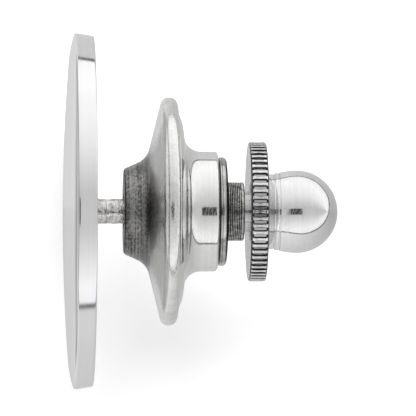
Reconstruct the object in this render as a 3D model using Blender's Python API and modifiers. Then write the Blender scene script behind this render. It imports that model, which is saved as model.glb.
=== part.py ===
# Tie tack: a domed round plate with a pointed post soldered to its back, and a ball-lock clutch
# that slides on the post. Pulling the knurled knob draws the ball cage back out of the cone,
# the balls let go of the post, and a coil spring pushes the cage forward again.
#
# Frame: metres. The post runs along +X and x = 0 is the back face of the plate, +Z is up.
# Every turned piece is drawn as (place along the axis, radius) and turned about that axis.

import math

import bmesh
import bpy

MM = 0.001

# Plate
PLATE_RADIUS = 8.55 * MM
PLATE_BACK_RADIUS = 8.42 * MM     # the wall tapers a little towards the back
PLATE_THICKNESS = 1.41 * MM       # at the middle
PLATE_FLAT_RADIUS = 2.6 * MM      # flat centre of the domed front
PLATE_DOME_RADIUS = 7.3 * MM      # outside this the dome rolls over to the rim
PLATE_DOME_RISE = 0.27 * MM
PLATE_SHOULDER_ROUND = 5.2 * MM
PLATE_CORNER_AT = 8.46 * MM       # where the rolled shoulder ends in a small rounded corner
PLATE_BACK_BREAK = 0.08 * MM      # broken corner round the back

# Post
POST_RADIUS = 0.6 * MM
POST_LENGTH = 9.5 * MM
POST_POINT = 1.6 * MM             # length of the sharpened tip
POST_TIP_RADIUS = 0.06 * MM
POST_GROOVE_AT = 0.75 * MM
POST_GROOVE_WIDTH = 0.3 * MM
POST_GROOVE_DEPTH = 0.05 * MM
SOLDER_RADIUS = 0.95 * MM
SOLDER_HEIGHT = 0.2 * MM
SOLDER_LIP = 0.02 * MM

# Clutch: places along the axis are counted from the nose face
NOSE_GAP = 1.46 * MM              # room between plate and nose, filled by cloth in use
NOSE_RADIUS = 1.93 * MM
NOSE_BREAK = 0.17 * MM            # broken edge of the nose face
NOSE_HOLE_RADIUS = 0.85 * MM
FLARE_AT = 1.11 * MM
FLARE_RADIUS = 2.54 * MM
FLARE_ROUND = 1.0 * MM
RIM_RADIUS = 5.48 * MM
RIM_FRONT = 1.84 * MM
RIM_BACK = 2.57 * MM
RIM_ROUND = 0.37 * MM
RIM_LIP_RADIUS = 4.88 * MM        # where the rolled rim ends behind the rear shell
FRONT_SHEET = 0.22 * MM
BARREL_RADIUS = 2.885 * MM
BARREL_FRONT = 3.0 * MM
BARREL_ROUND = 0.8 * MM           # hollow between barrel and flange
FLANGE_BULGE = 2.8 * MM           # place and radius where the flange bends towards the rim
FLANGE_BULGE_RADIUS = 4.3 * MM
FLANGE_BULGE_ROUND = 1.0 * MM
JOGGLE_RADIUS = 4.76 * MM         # here the flange steps forward, into the rolled rim
JOGGLE_CLIMB = 0.06 * MM
JOGGLE_GAP = 0.04 * MM            # between the flange and the rolled sheet behind it
FLANGE_RADIUS = 5.12 * MM
BARREL_BACK = 4.5 * MM
BARREL_LIP_RADIUS = 2.45 * MM
BARREL_LIP_ROUND = 0.27 * MM
REAR_SHEET = 0.25 * MM
CAP_BACK = 4.93 * MM
CAP_BAND_RADIUS = 2.62 * MM
CAP_BAND_FRONT = 4.58 * MM
CAP_ROUND = 0.24 * MM
CAP_HOLE_RADIUS = 1.47 * MM
CAP_FOOT = 0.22 * MM              # thickness of the part held inside the barrel
CAP_FOOT_GAP = 0.03 * MM
CAP_CUP_RADIUS = 2.05 * MM        # recess that takes the spring
SPRING_SEAT = 4.48 * MM           # inner face of the cap

# Ball lock
BALL_COUNT = 3
BALL_RADIUS = 0.45 * MM
BALL_AT = 1.15 * MM
POCKET_PLAY = 0.03 * MM           # round a ball in the cage
POCKET_DEPTH = 1.2 * MM
CONE_HALF_ANGLE = math.radians(15)
CONE_FRONT = 0.36 * MM
CONE_NOSE_RADIUS = 1.7 * MM
CONE_STEP_AT = 1.24 * MM
CONE_STEP_RADIUS = 2.14 * MM
CONE_BODY_FRONT = 1.46 * MM
CONE_BODY_RADIUS = 2.42 * MM
CONE_COLLAR_FRONT = 3.02 * MM
CONE_BACK = 3.3 * MM
CAGE_FRONT = 0.5 * MM
CAGE_RADIUS = 1.25 * MM
CAGE_BREAK = 0.08 * MM
SHOULDER_FRONT = 1.72 * MM
SHOULDER_BACK = 1.95 * MM
SHOULDER_RADIUS = 1.6 * MM
PLUNGER_RADIUS = 0.97 * MM
PLUNGER_BACK = 7.42 * MM
SLEEVE_RADIUS = 1.42 * MM
SLEEVE_BACK = 5.77 * MM
SLEEVE_BREAK = 0.04 * MM
WASHER_THICKNESS = 0.12 * MM
WASHER_PLAY = 0.03 * MM           # round the sleeve
WIRE_RADIUS = 0.1 * MM
COIL_RADIUS = 1.61 * MM
COIL_TURNS = 4.5

# Knob
RING_FRONT = 5.99 * MM
RING_BACK = 6.83 * MM
RING_RADIUS = 3.36 * MM
RING_EDGE = 0.12 * MM             # broken rims beside the knurl
KNURL_RUNOUT = 0.05 * MM          # length over which a groove ends
KNURL_COUNT = 62
KNURL_DEPTH = 0.11 * MM
KNOB_BACK = 10.31 * MM
KNOB_RADIUS = 1.99 * MM
KNOB_NECK_RADIUS = 1.84 * MM
KNOB_NECK_SWELL = 0.02 * MM       # the neck is a little wider behind its groove
KNOB_GROOVE_AT = 7.21 * MM
KNOB_GROOVE_HALF = 0.05 * MM
KNOB_GROOVE_DEPTH = 0.06 * MM
KNOB_FOOT_BREAK = 0.06 * MM
KNOB_FOOT_TAPER = 0.05 * MM
KNOB_STEP = 0.15 * MM             # the hollow's dome is this much smaller and further back
KNOB_WALL = 0.5 * MM
KNOB_SOCKET_GAP = 0.04 * MM       # behind the end of the plunger

# Clearances
STACK_GAP = 0.02 * MM             # between pieces that rest on each other
PRESS_GAP = 0.02 * MM             # round a piece that is pressed on
RUN_GAP = 0.05 * MM               # round a piece that slides or turns
BALL_GAP = 0.015 * MM             # between a ball and what it rolls on

# Facets round each turned piece
FINE, MEDIUM, COARSE = 40, 32, 24
ARC_STEPS = 4

BORE_RADIUS = POST_RADIUS + 0.06 * MM
BALL_ORBIT = POST_RADIUS + BALL_RADIUS + BALL_GAP
CONE_RADIUS_AT_BALL = BALL_ORBIT + BALL_RADIUS / math.cos(CONE_HALF_ANGLE) + BALL_GAP


# Outline tools. A point is (place along the axis, radius).

def arc(center, radius, start_degrees, end_degrees, steps=ARC_STEPS):
    points = []
    for i in range(steps + 1):
        angle = math.radians(start_degrees + (end_degrees - start_degrees) * i / steps)
        points.append((center[0] + radius * math.cos(angle), center[1] + radius * math.sin(angle)))
    return points


# Corners are (place, radius) or (place, radius, rounding); a rounded corner becomes an arc.
def rounded(corners, steps=ARC_STEPS):
    points = []
    for i, corner in enumerate(corners):
        if len(corner) == 2:
            points.append(corner)
            continue
        before, after = corners[i - 1], corners[(i + 1) % len(corners)]
        points.extend(corner_arc(before, corner, after, corner[2], steps))
    return points


def corner_arc(before, corner, after, radius, steps):
    to_before = math.atan2(before[1] - corner[1], before[0] - corner[0])
    to_after = math.atan2(after[1] - corner[1], after[0] - corner[0])
    opening = (to_after - to_before + math.pi) % (2 * math.pi) - math.pi
    half = opening / 2
    reach = radius / abs(math.sin(half))
    middle = to_before + half
    center = (corner[0] + reach * math.cos(middle), corner[1] + reach * math.sin(middle))
    turn = math.copysign(math.pi - abs(opening), opening)
    start = middle + math.pi + turn / 2
    end = middle + math.pi - turn / 2
    return arc(center, radius, math.degrees(start), math.degrees(end), steps)


# Radius of the steel cone at a place along the axis.
def cone_radius(place):
    return CONE_RADIUS_AT_BALL + (place - BALL_AT) * math.tan(CONE_HALF_ANGLE)


# Building tools

def clear_scene():
    for old in list(bpy.data.objects):
        bpy.data.objects.remove(old, do_unlink=True)


def new_collection(name):
    collection = bpy.data.collections.new(name)
    bpy.context.scene.collection.children.link(collection)
    return collection


def metal(name, color, roughness):
    material = bpy.data.materials.new(name)
    material.use_nodes = True
    shader = material.node_tree.nodes["Principled BSDF"]
    shader.inputs["Base Color"].default_value = (*color, 1.0)
    shader.inputs["Metallic"].default_value = 1.0
    shader.inputs["Roughness"].default_value = roughness
    return material


def add_empty(name, collection, place, parent=None):
    empty = bpy.data.objects.new(name, None)
    empty.empty_display_size = 1.0 * MM
    empty.location = (place, 0, 0)
    empty.parent = parent
    collection.objects.link(empty)
    return empty


def add_object(name, mesh, collection, parent, material):
    piece = bpy.data.objects.new(name, mesh)
    if mesh.materials:
        mesh.materials.clear()
    mesh.materials.append(material)
    piece.parent = parent
    collection.objects.link(piece)
    return piece


# The mesh's own Z is the turning axis, and the object lies down so that Z points along +X.
def outline_mesh(name, points, closed):
    mesh = bpy.data.meshes.new(name)
    shape = bmesh.new()
    verts = [shape.verts.new((radius, 0, place)) for place, radius in points]
    pairs = list(zip(verts, verts[1:]))
    if closed:
        pairs.append((verts[-1], verts[0]))
    for first, second in pairs:
        shape.edges.new((first, second))
    shape.to_mesh(mesh)
    shape.free()
    return mesh


def add_screw(piece, facets):
    screw = piece.modifiers.new("turn", "SCREW")
    screw.axis = "Z"
    screw.angle = 2 * math.pi
    screw.steps = facets
    screw.render_steps = facets
    screw.use_merge_vertices = True
    screw.merge_threshold = 0.00001 * MM
    screw.use_smooth_shade = True


def turned(name, points, facets, closed, collection, parent, material):
    mesh = outline_mesh(name, points, closed)
    piece = add_object(name, mesh, collection, parent, material)
    piece.rotation_euler = (0, math.pi / 2, 0)
    add_screw(piece, facets)
    return piece


# A pressed sheet: the outline is its outer face and the sheet's thickness goes inwards.
def turned_sheet(name, points, thickness, facets, collection, parent, material):
    piece = turned(name, points, facets, False, collection, parent, material)
    sheet = piece.modifiers.new("sheet", "SOLIDIFY")
    sheet.thickness = thickness
    sheet.offset = -1
    sheet.use_even_offset = True
    return piece


# Replaces an object's mesh by what its modifiers make of it.
def apply_modifiers(piece):
    depsgraph = bpy.context.evaluated_depsgraph_get()
    evaluated = piece.evaluated_get(depsgraph)
    finished = bpy.data.meshes.new_from_object(evaluated)
    plain = piece.data
    piece.modifiers.clear()
    piece.data = finished
    bpy.data.meshes.remove(plain)


# Fixed half: plate, post and the solder between them

# The front is a shallow dome, a rounder shoulder and a small corner, each an arc that leaves
# the one before it at the same slope.
def plate_front():
    dome_round = (PLATE_DOME_RADIUS ** 2 + PLATE_DOME_RISE ** 2) / (2 * PLATE_DOME_RISE)
    flat_slope = math.asin(PLATE_FLAT_RADIUS / dome_round)
    dome_slope = math.asin(PLATE_DOME_RADIUS / dome_round)
    climb = (PLATE_CORNER_AT - PLATE_DOME_RADIUS) / PLATE_SHOULDER_ROUND
    rim_slope = math.asin(math.sin(dome_slope) + climb)
    corner_round = (PLATE_RADIUS - PLATE_CORNER_AT) / (1 - math.sin(rim_slope))

    dome_center = (dome_round * math.cos(flat_slope) - PLATE_THICKNESS, 0)
    shoulder_center = arc_center_behind(dome_center, dome_round, dome_slope, PLATE_SHOULDER_ROUND)
    corner_center = arc_center_behind(shoulder_center, PLATE_SHOULDER_ROUND, rim_slope, corner_round)

    flat, dome, rim = (180 - math.degrees(slope) for slope in (flat_slope, dome_slope, rim_slope))
    corner = arc(corner_center, corner_round, 90, rim)
    shoulder = arc(shoulder_center, PLATE_SHOULDER_ROUND, rim, dome, 3)
    cap = arc(dome_center, dome_round, dome, flat, 3)
    return corner + shoulder[1:] + cap[1:]


# Center of an arc of another radius that takes over from an arc at a slope, without a kink.
def arc_center_behind(center, radius, slope, next_radius):
    step = radius - next_radius
    return (center[0] - step * math.cos(slope), center[1] + step * math.sin(slope))


def make_face_plate(collection, parent):
    back = [
        (0, 0),
        (0, PLATE_BACK_RADIUS - PLATE_BACK_BREAK),
        (-PLATE_BACK_BREAK, PLATE_BACK_RADIUS),
    ]
    points = back + plate_front() + [(-PLATE_THICKNESS, 0)]
    material = metal("polished_plate", (0.78, 0.79, 0.80), 0.12)
    return turned("face_plate", points, FINE, False, collection, parent, material)


def make_post(collection, parent):
    groove_front = POST_GROOVE_AT - POST_GROOVE_WIDTH / 2
    groove_back = POST_GROOVE_AT + POST_GROOVE_WIDTH / 2
    groove_radius = POST_RADIUS - POST_GROOVE_DEPTH
    points = [
        (POST_LENGTH, 0),
        (POST_LENGTH - POST_TIP_RADIUS / 2, POST_TIP_RADIUS),
        (POST_LENGTH - POST_POINT, POST_RADIUS),
        (groove_back, POST_RADIUS),
        (groove_back - POST_GROOVE_DEPTH, groove_radius),
        (groove_front + POST_GROOVE_DEPTH, groove_radius),
        (groove_front, POST_RADIUS),
        (STACK_GAP, POST_RADIUS),
        (STACK_GAP, 0),
    ]
    material = metal("post_steel", (0.68, 0.67, 0.65), 0.3)
    return turned("post", points, COARSE, False, collection, parent, material)


# A ring of solder with a hollow slope, round the foot of the post.
def make_solder_fillet(collection, parent):
    inner = POST_RADIUS + PRESS_GAP
    slope = SOLDER_RADIUS - inner
    hollow = []
    for i in range(ARC_STEPS + 1):
        angle = math.pi / 2 * i / ARC_STEPS
        place = STACK_GAP + SOLDER_HEIGHT * (1 - math.sin(angle))
        hollow.append((place, inner + slope * (1 - math.cos(angle))))
    points = [(place + SOLDER_LIP, radius + SOLDER_LIP) for place, radius in hollow]
    points.append((STACK_GAP, SOLDER_RADIUS + SOLDER_LIP))
    points.append((STACK_GAP, inner))
    points.append((STACK_GAP + SOLDER_HEIGHT + SOLDER_LIP, inner))
    material = metal("solder", (0.60, 0.60, 0.60), 0.35)
    return turned("solder_fillet", points, COARSE, True, collection, parent, material)


# Clutch housing: two pressed shells joined at a rolled rim, closed by a cap

def make_front_shell(collection, parent):
    corners = [
        (RIM_BACK, RIM_LIP_RADIUS),
        (RIM_BACK, RIM_RADIUS, RIM_ROUND),
        (RIM_FRONT, RIM_RADIUS, RIM_ROUND),
        (FLARE_AT, FLARE_RADIUS, FLARE_ROUND),
        (NOSE_BREAK, NOSE_RADIUS + NOSE_BREAK),
        (0, NOSE_RADIUS),
        (0, NOSE_HOLE_RADIUS),
    ]
    material = metal("front_shell_nickel", (0.50, 0.49, 0.48), 0.28)
    points = rounded(corners)
    return turned_sheet("front_shell", points, FRONT_SHEET, FINE, collection, parent, material)


def make_rear_shell(collection, parent):
    flange_back = RIM_BACK - FRONT_SHEET - JOGGLE_GAP
    corners = [
        (BARREL_BACK, BARREL_LIP_RADIUS),
        (BARREL_BACK, BARREL_RADIUS, BARREL_LIP_ROUND),
        (BARREL_FRONT, BARREL_RADIUS, BARREL_ROUND),
        (FLANGE_BULGE, FLANGE_BULGE_RADIUS, FLANGE_BULGE_ROUND),
        (RIM_BACK + JOGGLE_GAP, JOGGLE_RADIUS),
        (flange_back, JOGGLE_RADIUS + JOGGLE_CLIMB),
        (flange_back, FLANGE_RADIUS),
    ]
    material = metal("rear_shell_nickel", (0.52, 0.51, 0.50), 0.26)
    points = rounded(corners)
    return turned_sheet("rear_shell", points, REAR_SHEET, MEDIUM, collection, parent, material)


def make_end_cap(collection, parent):
    groove_radius = BARREL_LIP_RADIUS - RUN_GAP
    inside_radius = BARREL_RADIUS - REAR_SHEET - CAP_FOOT_GAP
    inside_back = BARREL_BACK - REAR_SHEET - CAP_FOOT_GAP
    inside_front = inside_back - CAP_FOOT
    corners = [
        (CAP_BACK, CAP_HOLE_RADIUS),
        (CAP_BACK, CAP_BAND_RADIUS, CAP_ROUND),
        (CAP_BAND_FRONT, CAP_BAND_RADIUS),
        (BARREL_BACK + RUN_GAP, groove_radius),
        (inside_back, groove_radius),
        (inside_back, inside_radius),
        (inside_front, inside_radius),
        (inside_front, CAP_CUP_RADIUS),
        (SPRING_SEAT, CAP_CUP_RADIUS),
        (SPRING_SEAT, CAP_HOLE_RADIUS),
    ]
    material = metal("end_cap_steel", (0.45, 0.44, 0.43), 0.3)
    return turned("end_cap", rounded(corners), MEDIUM, True, collection, parent, material)


# Ball lock: cone, balls in the plunger's cage, spring and washer

def make_cone_seat(collection, parent):
    collar_radius = BARREL_RADIUS - REAR_SHEET - RUN_GAP
    points = [
        (CONE_BACK, collar_radius),
        (CONE_COLLAR_FRONT, collar_radius),
        (CONE_COLLAR_FRONT, CONE_BODY_RADIUS),
        (CONE_BODY_FRONT, CONE_BODY_RADIUS),
        (CONE_STEP_AT, CONE_STEP_RADIUS),
        (CONE_FRONT, CONE_NOSE_RADIUS),
        (CONE_FRONT, cone_radius(CONE_FRONT)),
        (CONE_BACK, cone_radius(CONE_BACK)),
    ]
    material = metal("hardened_steel", (0.42, 0.42, 0.43), 0.25)
    return turned("cone_seat", points, MEDIUM, True, collection, parent, material)


def make_pocket_cutter(index, collection, parent, angle):
    shape = bmesh.new()
    radius = BALL_RADIUS + POCKET_PLAY
    bmesh.ops.create_cone(shape, cap_ends=True, segments=16, radius1=radius, radius2=radius,
                          depth=POCKET_DEPTH)
    mesh = bpy.data.meshes.new(f"pocket_cutter_{index}")
    shape.to_mesh(mesh)
    shape.free()
    cutter = bpy.data.objects.new(f"pocket_cutter_{index}", mesh)
    cutter.parent = parent
    cutter.location = (BALL_AT, -BALL_ORBIT * math.sin(angle), BALL_ORBIT * math.cos(angle))
    cutter.rotation_euler = (angle, 0, 0)
    cutter.hide_render = True
    cutter.display_type = "WIRE"
    collection.objects.link(cutter)
    return cutter


def make_plunger_tube(collection, cutters, parent):
    points = [
        (PLUNGER_BACK, PLUNGER_RADIUS),
        (SHOULDER_BACK, PLUNGER_RADIUS),
        (SHOULDER_BACK, SHOULDER_RADIUS),
        (SHOULDER_FRONT, SHOULDER_RADIUS),
        (SHOULDER_FRONT, CAGE_RADIUS),
        (CAGE_FRONT + CAGE_BREAK, CAGE_RADIUS),
        (CAGE_FRONT, CAGE_RADIUS - CAGE_BREAK),
        (CAGE_FRONT, BORE_RADIUS),
        (PLUNGER_BACK, BORE_RADIUS),
    ]
    material = metal("plunger_steel", (0.62, 0.61, 0.60), 0.2)
    tube = turned("plunger_tube", points, COARSE, True, collection, parent, material)
    for i in range(BALL_COUNT):
        cutter = make_pocket_cutter(i + 1, cutters, parent, ball_angle(i))
        pocket = tube.modifiers.new(f"pocket_{i + 1}", "BOOLEAN")
        pocket.operation = "DIFFERENCE"
        pocket.solver = "EXACT"
        pocket.object = cutter
    return tube


def make_neck_sleeve(collection, parent):
    front = SHOULDER_BACK + STACK_GAP
    inner = PLUNGER_RADIUS + PRESS_GAP
    points = [
        (SLEEVE_BACK, inner),
        (SLEEVE_BACK, SLEEVE_RADIUS - SLEEVE_BREAK),
        (SLEEVE_BACK - SLEEVE_BREAK, SLEEVE_RADIUS),
        (front, SLEEVE_RADIUS),
        (front, inner),
    ]
    material = metal("turned_sleeve", (0.30, 0.29, 0.28), 0.45)
    return turned("neck_sleeve", points, COARSE, True, collection, parent, material)


def ball_angle(index):
    return 2 * math.pi * index / BALL_COUNT


def make_balls(collection, parent):
    material = metal("ball_steel", (0.72, 0.72, 0.73), 0.08)
    for i in range(BALL_COUNT):
        shape = bmesh.new()
        bmesh.ops.create_uvsphere(shape, u_segments=14, v_segments=9, radius=BALL_RADIUS)
        name = f"ball_{i + 1}"
        mesh = bpy.data.meshes.new(name)
        shape.to_mesh(mesh)
        shape.free()
        mesh.shade_smooth()
        ball = add_object(name, mesh, collection, parent, material)
        angle = ball_angle(i)
        ball.location = (BALL_AT, -BALL_ORBIT * math.sin(angle), BALL_ORBIT * math.cos(angle))


def make_spring_washer(collection, parent):
    front = SHOULDER_BACK + STACK_GAP
    back = front + WASHER_THICKNESS
    inner = SLEEVE_RADIUS + WASHER_PLAY
    outer = cone_radius(front) - RUN_GAP
    points = [(back, outer), (front, outer), (front, inner), (back, inner)]
    material = metal("washer_steel", (0.55, 0.55, 0.55), 0.25)
    return turned("spring_washer", points, COARSE, True, collection, parent, material)


def make_spring(collection, parent):
    front = SHOULDER_BACK + 2 * STACK_GAP + WASHER_THICKNESS + WIRE_RADIUS
    back = SPRING_SEAT - STACK_GAP - WIRE_RADIUS
    per_turn = 12
    count = int(COIL_TURNS * per_turn) + 1
    curve = bpy.data.curves.new("spring", "CURVE")
    curve.dimensions = "3D"
    curve.bevel_depth = WIRE_RADIUS
    curve.bevel_resolution = 2
    curve.use_fill_caps = True
    wire = curve.splines.new("POLY")
    wire.points.add(count - 1)
    for i, point in enumerate(wire.points):
        angle = 2 * math.pi * i / per_turn
        place = front + (back - front) * i / (count - 1)
        point.co = (place, COIL_RADIUS * math.cos(angle), COIL_RADIUS * math.sin(angle), 1)
    coil = bpy.data.objects.new("spring", curve)
    curve.materials.append(metal("spring_wire", (0.58, 0.58, 0.58), 0.22))
    coil.parent = parent
    collection.objects.link(coil)
    return coil


# Knob: knurled ring and hollow domed cap, both pressed on the plunger

def make_knurled_ring(collection, parent):
    hole = PLUNGER_RADIUS + PRESS_GAP
    groove_front = RING_FRONT + RING_EDGE + KNURL_RUNOUT
    groove_back = RING_BACK - RING_EDGE - KNURL_RUNOUT
    corners = [
        (RING_BACK, RING_RADIUS - RING_EDGE),
        (RING_BACK - RING_EDGE, RING_RADIUS),
        (groove_back, RING_RADIUS),
        (groove_front, RING_RADIUS),
        (RING_FRONT + RING_EDGE, RING_RADIUS),
        (RING_FRONT, RING_RADIUS - RING_EDGE),
        (RING_FRONT, hole),
        (RING_BACK, hole),
    ]
    material = metal("knurled_nickel", (0.74, 0.74, 0.75), 0.16)
    ring = turned("knurled_ring", corners, 2 * KNURL_COUNT, True, collection, parent, material)
    apply_modifiers(ring)
    cut_knurl(ring.data, groove_front - KNURL_RUNOUT / 2, groove_back + KNURL_RUNOUT / 2)
    return ring


# Pushes every second column of the rim inwards between two places along the axis.
def cut_knurl(mesh, front, back):
    shape = bmesh.new()
    shape.from_mesh(mesh)
    column = math.pi / KNURL_COUNT
    for vert in shape.verts:
        radius = math.hypot(vert.co.x, vert.co.y)
        index = round(math.atan2(vert.co.y, vert.co.x) / column)
        if front < vert.co.z < back and index % 2 and radius > RING_RADIUS / 2:
            scale = (RING_RADIUS - KNURL_DEPTH) / radius
            vert.co.x *= scale
            vert.co.y *= scale
    shape.to_mesh(mesh)
    shape.free()


def make_knob_cap(collection, parent):
    front = RING_BACK + STACK_GAP
    dome_at = KNOB_BACK - KNOB_RADIUS
    hole = PLUNGER_RADIUS + PRESS_GAP
    hollow_front = PLUNGER_BACK + KNOB_SOCKET_GAP
    hollow_radius = KNOB_RADIUS - KNOB_WALL - KNOB_STEP
    hollow_dome_at = dome_at + KNOB_STEP
    foot_radius = KNOB_NECK_RADIUS - KNOB_FOOT_TAPER
    outer = arc((dome_at, 0), KNOB_RADIUS, 0, 90, 8)
    outer[0] = (KNOB_BACK, 0)
    waist = [
        (KNOB_GROOVE_AT + KNOB_GROOVE_HALF, KNOB_NECK_RADIUS + KNOB_NECK_SWELL),
        (KNOB_GROOVE_AT, KNOB_NECK_RADIUS - KNOB_GROOVE_DEPTH),
        (KNOB_GROOVE_AT - KNOB_GROOVE_HALF, KNOB_NECK_RADIUS),
        (front + KNOB_FOOT_BREAK, foot_radius),
        (front, foot_radius - KNOB_FOOT_BREAK),
        (front, hole),
        (hollow_front, hole),
        (hollow_front, hollow_radius),
    ]
    inner = arc((hollow_dome_at, 0), hollow_radius, 90, 0, 5)
    inner[-1] = (hollow_dome_at + hollow_radius, 0)
    material = metal("polished_knob", (0.66, 0.66, 0.67), 0.14)
    return turned("knob_cap", outer + waist + inner, MEDIUM, False, collection, parent, material)


def main():
    clear_scene()
    parts = new_collection("tie_tack")
    cutters = new_collection("cutters")
    post_axis = add_empty("post_axis", parts, 0)
    clutch = add_empty("clutch_slide_axis", parts, NOSE_GAP, post_axis)
    knob = add_empty("knob_pull_axis", parts, 0, clutch)

    make_face_plate(parts, post_axis)
    make_post(parts, post_axis)
    make_solder_fillet(parts, post_axis)
    make_front_shell(parts, clutch)
    make_rear_shell(parts, clutch)
    make_end_cap(parts, clutch)
    make_cone_seat(parts, clutch)
    make_spring(parts, clutch)
    make_spring_washer(parts, knob)
    make_plunger_tube(parts, cutters, knob)
    make_neck_sleeve(parts, knob)
    make_balls(parts, knob)
    make_knurled_ring(parts, knob)
    make_knob_cap(parts, knob)


main()
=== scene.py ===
import math
import bpy
from mathutils import Matrix, Vector


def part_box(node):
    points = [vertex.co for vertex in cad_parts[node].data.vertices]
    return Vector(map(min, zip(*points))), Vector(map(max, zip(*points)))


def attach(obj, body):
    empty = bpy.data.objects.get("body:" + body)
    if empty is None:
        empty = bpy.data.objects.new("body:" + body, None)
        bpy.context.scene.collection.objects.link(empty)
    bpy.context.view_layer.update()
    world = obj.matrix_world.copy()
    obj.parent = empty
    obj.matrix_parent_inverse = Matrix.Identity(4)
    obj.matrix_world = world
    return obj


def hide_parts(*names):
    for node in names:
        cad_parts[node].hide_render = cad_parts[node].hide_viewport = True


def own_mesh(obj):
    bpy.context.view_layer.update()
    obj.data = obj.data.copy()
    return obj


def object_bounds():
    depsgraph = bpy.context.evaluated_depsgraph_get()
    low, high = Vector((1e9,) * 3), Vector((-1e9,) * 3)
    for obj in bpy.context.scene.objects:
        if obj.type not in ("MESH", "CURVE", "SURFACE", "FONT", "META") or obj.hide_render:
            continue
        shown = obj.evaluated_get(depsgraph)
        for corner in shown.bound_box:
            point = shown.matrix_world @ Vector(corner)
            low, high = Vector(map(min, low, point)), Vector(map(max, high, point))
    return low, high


# Tie tack: domed plate on a post, held by a ball-lock clutch with a knurled pull knob.
# The post runs along X, so nearly every piece is an outline spun round the X axis.
# Sizes in the dictionaries are millimetres unless a note says otherwise.

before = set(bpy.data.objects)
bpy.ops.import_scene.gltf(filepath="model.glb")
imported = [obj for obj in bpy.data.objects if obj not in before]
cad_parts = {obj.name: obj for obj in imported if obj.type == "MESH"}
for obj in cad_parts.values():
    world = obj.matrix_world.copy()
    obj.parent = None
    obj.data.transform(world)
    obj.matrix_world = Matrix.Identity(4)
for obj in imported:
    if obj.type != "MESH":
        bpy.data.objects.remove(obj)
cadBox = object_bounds()
mm = 0.001


def cleanSlate():
    if bpy.context.object and bpy.context.object.mode != "OBJECT":
        bpy.ops.object.mode_set(mode="OBJECT")
    bpy.ops.object.select_all(action="DESELECT")


def boxMm(node):
    low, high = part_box(node)
    return low / mm, high / mm


def arcPoints(center, radius, start, end, steps):
    # angles in degrees, 0 points along +X and 90 away from the axis
    points = []
    for i in range(steps + 1):
        angle = math.radians(start + (end - start) * i / steps)
        points.append((center[0] + radius * math.cos(angle), center[1] + radius * math.sin(angle)))
    return points


def roundCorner(before, corner, after, radius, steps):
    toBefore = math.atan2(before[1] - corner[1], before[0] - corner[0])
    toAfter = math.atan2(after[1] - corner[1], after[0] - corner[0])
    opening = (toAfter - toBefore + math.pi) % (2 * math.pi) - math.pi
    middle = toBefore + opening / 2
    reach = radius / abs(math.sin(opening / 2))
    center = (corner[0] + reach * math.cos(middle), corner[1] + reach * math.sin(middle))
    turn = math.copysign(math.pi - abs(opening), opening)
    start = math.degrees(middle + math.pi + turn / 2)
    end = math.degrees(middle + math.pi - turn / 2)
    return arcPoints(center, radius, start, end, steps)


def smoothOutline(corners, steps=6):
    # a corner is (place, radius) or (place, radius, rounding)
    points = []
    for i, corner in enumerate(corners):
        if len(corner) == 2:
            points.append(corner)
        else:
            after = corners[(i + 1) % len(corners)]
            points += roundCorner(corners[i - 1], corner, after, corner[2], steps)
    return points


def drawOutline(name, points):
    # a plane merged to one vertex, then pulled along the outline
    cleanSlate()
    bpy.ops.mesh.primitive_plane_add(size=mm, location=(0, 0, 0))
    piece = bpy.context.active_object
    piece.name = piece.data.name = name
    bpy.ops.object.mode_set(mode="EDIT")
    bpy.ops.mesh.select_mode(type="VERT")
    bpy.ops.mesh.select_all(action="SELECT")
    bpy.ops.mesh.merge(type="CENTER")
    bpy.ops.transform.translate(value=(points[0][0] * mm, 0, points[0][1] * mm))
    for here, there in zip(points, points[1:]):
        step = ((there[0] - here[0]) * mm, 0, (there[1] - here[1]) * mm)
        bpy.ops.mesh.extrude_region_move(TRANSFORM_OT_translate={"value": step})
    return piece


def spinOutline(name, points, steps=160, closed=False):
    if closed:
        points = points + [points[0]]
    piece = drawOutline(name, points)
    bpy.ops.mesh.select_all(action="SELECT")
    bpy.ops.mesh.spin(steps=steps, angle=2 * math.pi, center=(0, 0, 0), axis=(1, 0, 0))
    tidyMesh()
    bpy.ops.object.mode_set(mode="OBJECT")
    return piece


def tidyMesh():
    bpy.ops.mesh.select_all(action="SELECT")
    bpy.ops.mesh.remove_doubles(threshold=0.0002 * mm)
    bpy.ops.mesh.normals_make_consistent(inside=False)


def applyModifier(piece, modifier):
    cleanSlate()
    piece.select_set(True)
    bpy.context.view_layer.objects.active = piece
    bpy.ops.object.modifier_apply(modifier=modifier.name)


def giveThickness(piece, thickness):
    sheet = piece.modifiers.new("sheet", "SOLIDIFY")
    sheet.thickness = thickness * mm
    sheet.offset = -1
    sheet.use_even_offset = True
    applyModifier(piece, sheet)


def roughenShape(piece, amount, size, group=""):
    # hand-worn metal: a slow uneven swell, amount and size in mm
    cloud = bpy.data.textures.new(piece.name + "Swell", "CLOUDS")
    cloud.noise_scale = size * mm
    cloud.noise_depth = 1
    swell = piece.modifiers.new("swell", "DISPLACE")
    swell.texture = cloud
    swell.texture_coords = "LOCAL"
    swell.strength = amount * mm
    swell.mid_level = 0.5
    swell.vertex_group = group
    applyModifier(piece, swell)


def softShade(piece, degrees=30):
    cleanSlate()
    piece.select_set(True)
    bpy.context.view_layer.objects.active = piece
    bpy.ops.object.shade_smooth_by_angle(angle=math.radians(degrees))


def finishPiece(piece, body, node, material, degrees=30):
    softShade(piece, degrees)
    piece.data.materials.clear()
    piece.data.materials.append(material)
    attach(piece, body)
    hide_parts(node)


def link(material, fromSocket, toSocket):
    material.node_tree.links.new(fromSocket, toSocket)


def mathNode(material, operation, first, second=None, clamp=False):
    node = material.node_tree.nodes.new("ShaderNodeMath")
    node.operation = operation
    node.use_clamp = clamp
    for socket, value in zip(node.inputs, (first, second)):
        if value is None:
            continue
        if isinstance(value, (int, float)):
            socket.default_value = value
        else:
            link(material, value, socket)
    return node.outputs[0]


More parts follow.
